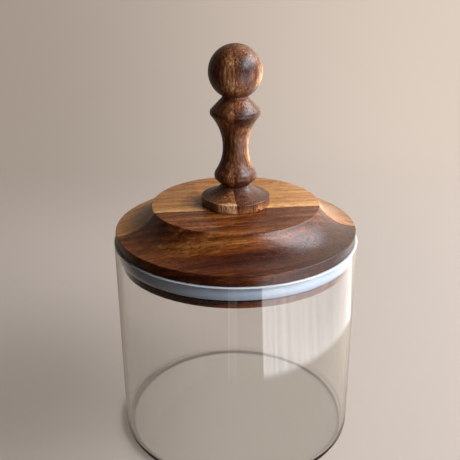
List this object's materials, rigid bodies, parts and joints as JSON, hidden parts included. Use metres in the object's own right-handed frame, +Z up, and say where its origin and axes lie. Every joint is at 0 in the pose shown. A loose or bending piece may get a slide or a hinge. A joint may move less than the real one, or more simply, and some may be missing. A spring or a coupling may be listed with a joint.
{
  "type": "glass canister with wooden lid",
  "caption": "Clear straight-sided glass canister with a turned wooden lid: a plug with a rubber sealing ring, a hollowed slope, a flat top and a tall spindle knob ending in a ball.",
  "frame": {"origin": "centre of the jar's underside, on the surface it stands on", "axes": "+Z up along the axis of the jar, lid and knob; -Y is the front, where the darker board of the lid is"},
  "size_m": [0.122, 0.122, 0.2019],
  "materials": {
    "clear_glass": "clear gloss",
    "dark_board": "oiled satin",
    "light_board": "oiled satin",
    "knob_wood": "oiled satin",
    "clear_rubber": "smooth translucent silicone"
  },
  "bodies": {
    "root": {"glass_jar": "clear_glass", "lid_front_board": "dark_board", "lid_rear_board": "light_board", "seal_ring": "clear_rubber", "knob": "knob_wood"}
  },
  "joints": []
}
